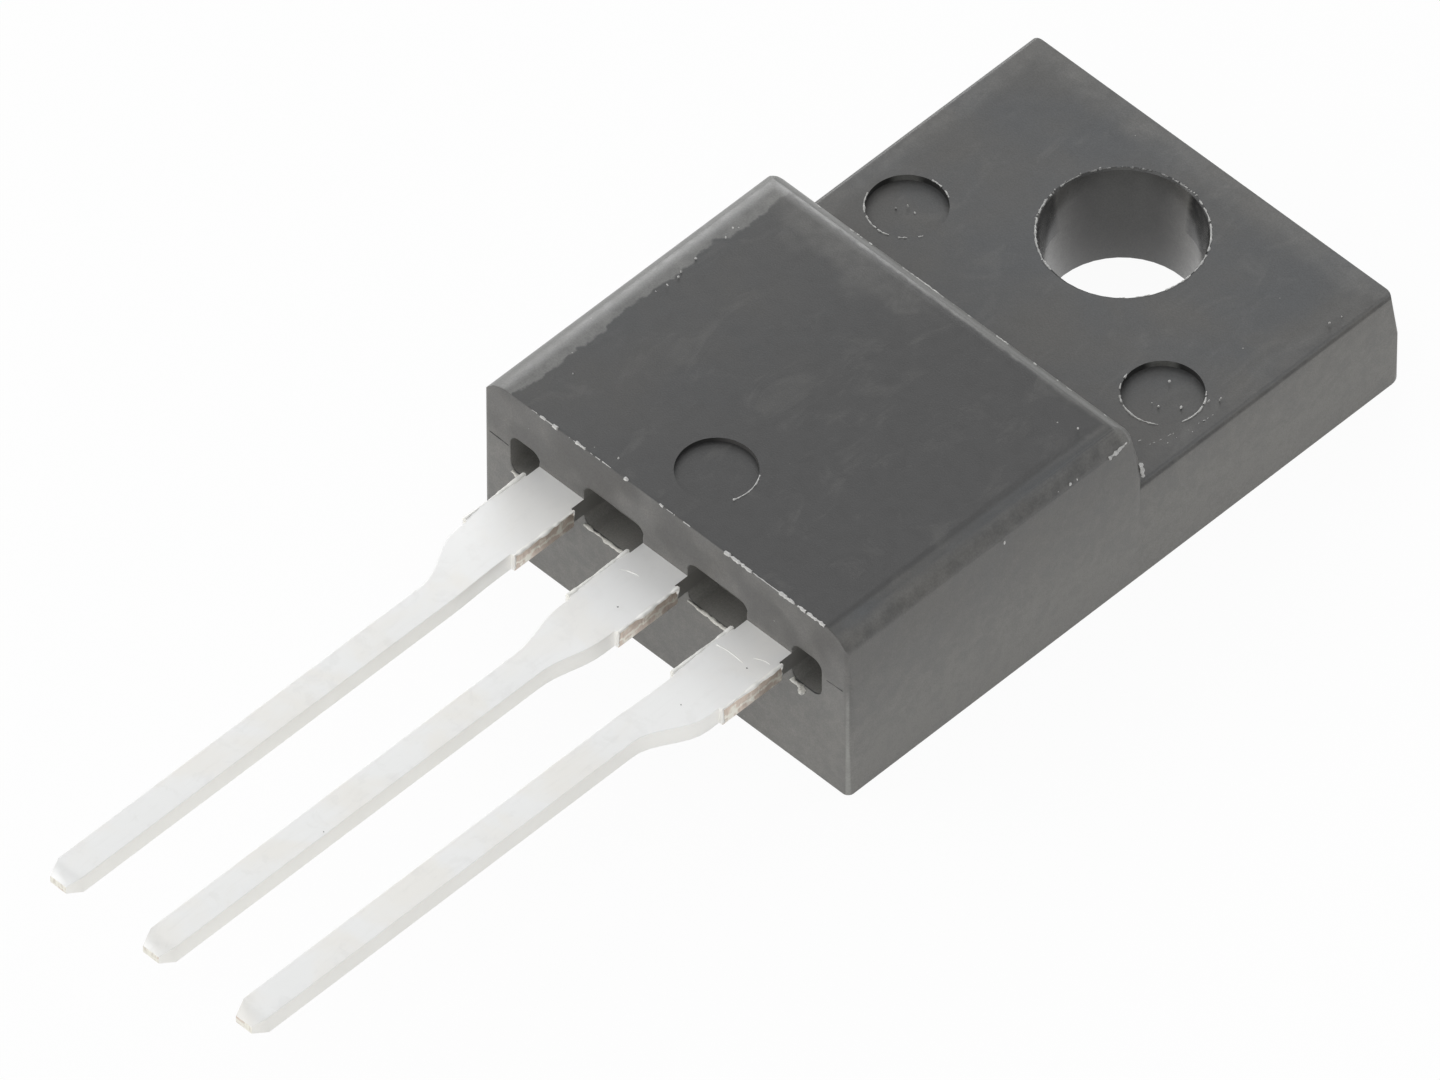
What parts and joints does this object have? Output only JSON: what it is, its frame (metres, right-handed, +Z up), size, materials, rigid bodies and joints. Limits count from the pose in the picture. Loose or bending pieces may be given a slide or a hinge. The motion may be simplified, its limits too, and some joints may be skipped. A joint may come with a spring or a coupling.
{
  "type": "power transistor",
  "caption": "Fully moulded power transistor: black epoxy block with a stepped tab and screw hole, and flat tinned leads that taper to slim tips",
  "frame": {"origin": "where the axis of the screw hole meets the flat heatsink face", "axes": "+Z is up through the screw hole towards the marked side, -Y is the way the leads point, +X is across the leads, with the base lead at -X and the emitter lead at +X"},
  "size_m": [0.01, 0.0296, 0.0045],
  "materials": {
    "moulding": "black epoxy moulding compound, finely grained and slightly glossy",
    "lead": "matt tin plating over copper alloy strip, bare copper at the cut tips",
    "silicon": "polished silicon with a metallised top",
    "solder": "dull solder",
    "bond_wire": "drawn aluminium wire"
  },
  "bodies": {
    "root": {"moulded_body": "moulding", "collector_lead_frame": "lead", "base_lead": "lead", "emitter_lead": "lead", "transistor_die": "silicon", "die_attach_solder": "solder", "emitter_bond_wire": "bond_wire", "base_bond_wire": "bond_wire"}
  },
  "joints": []
}
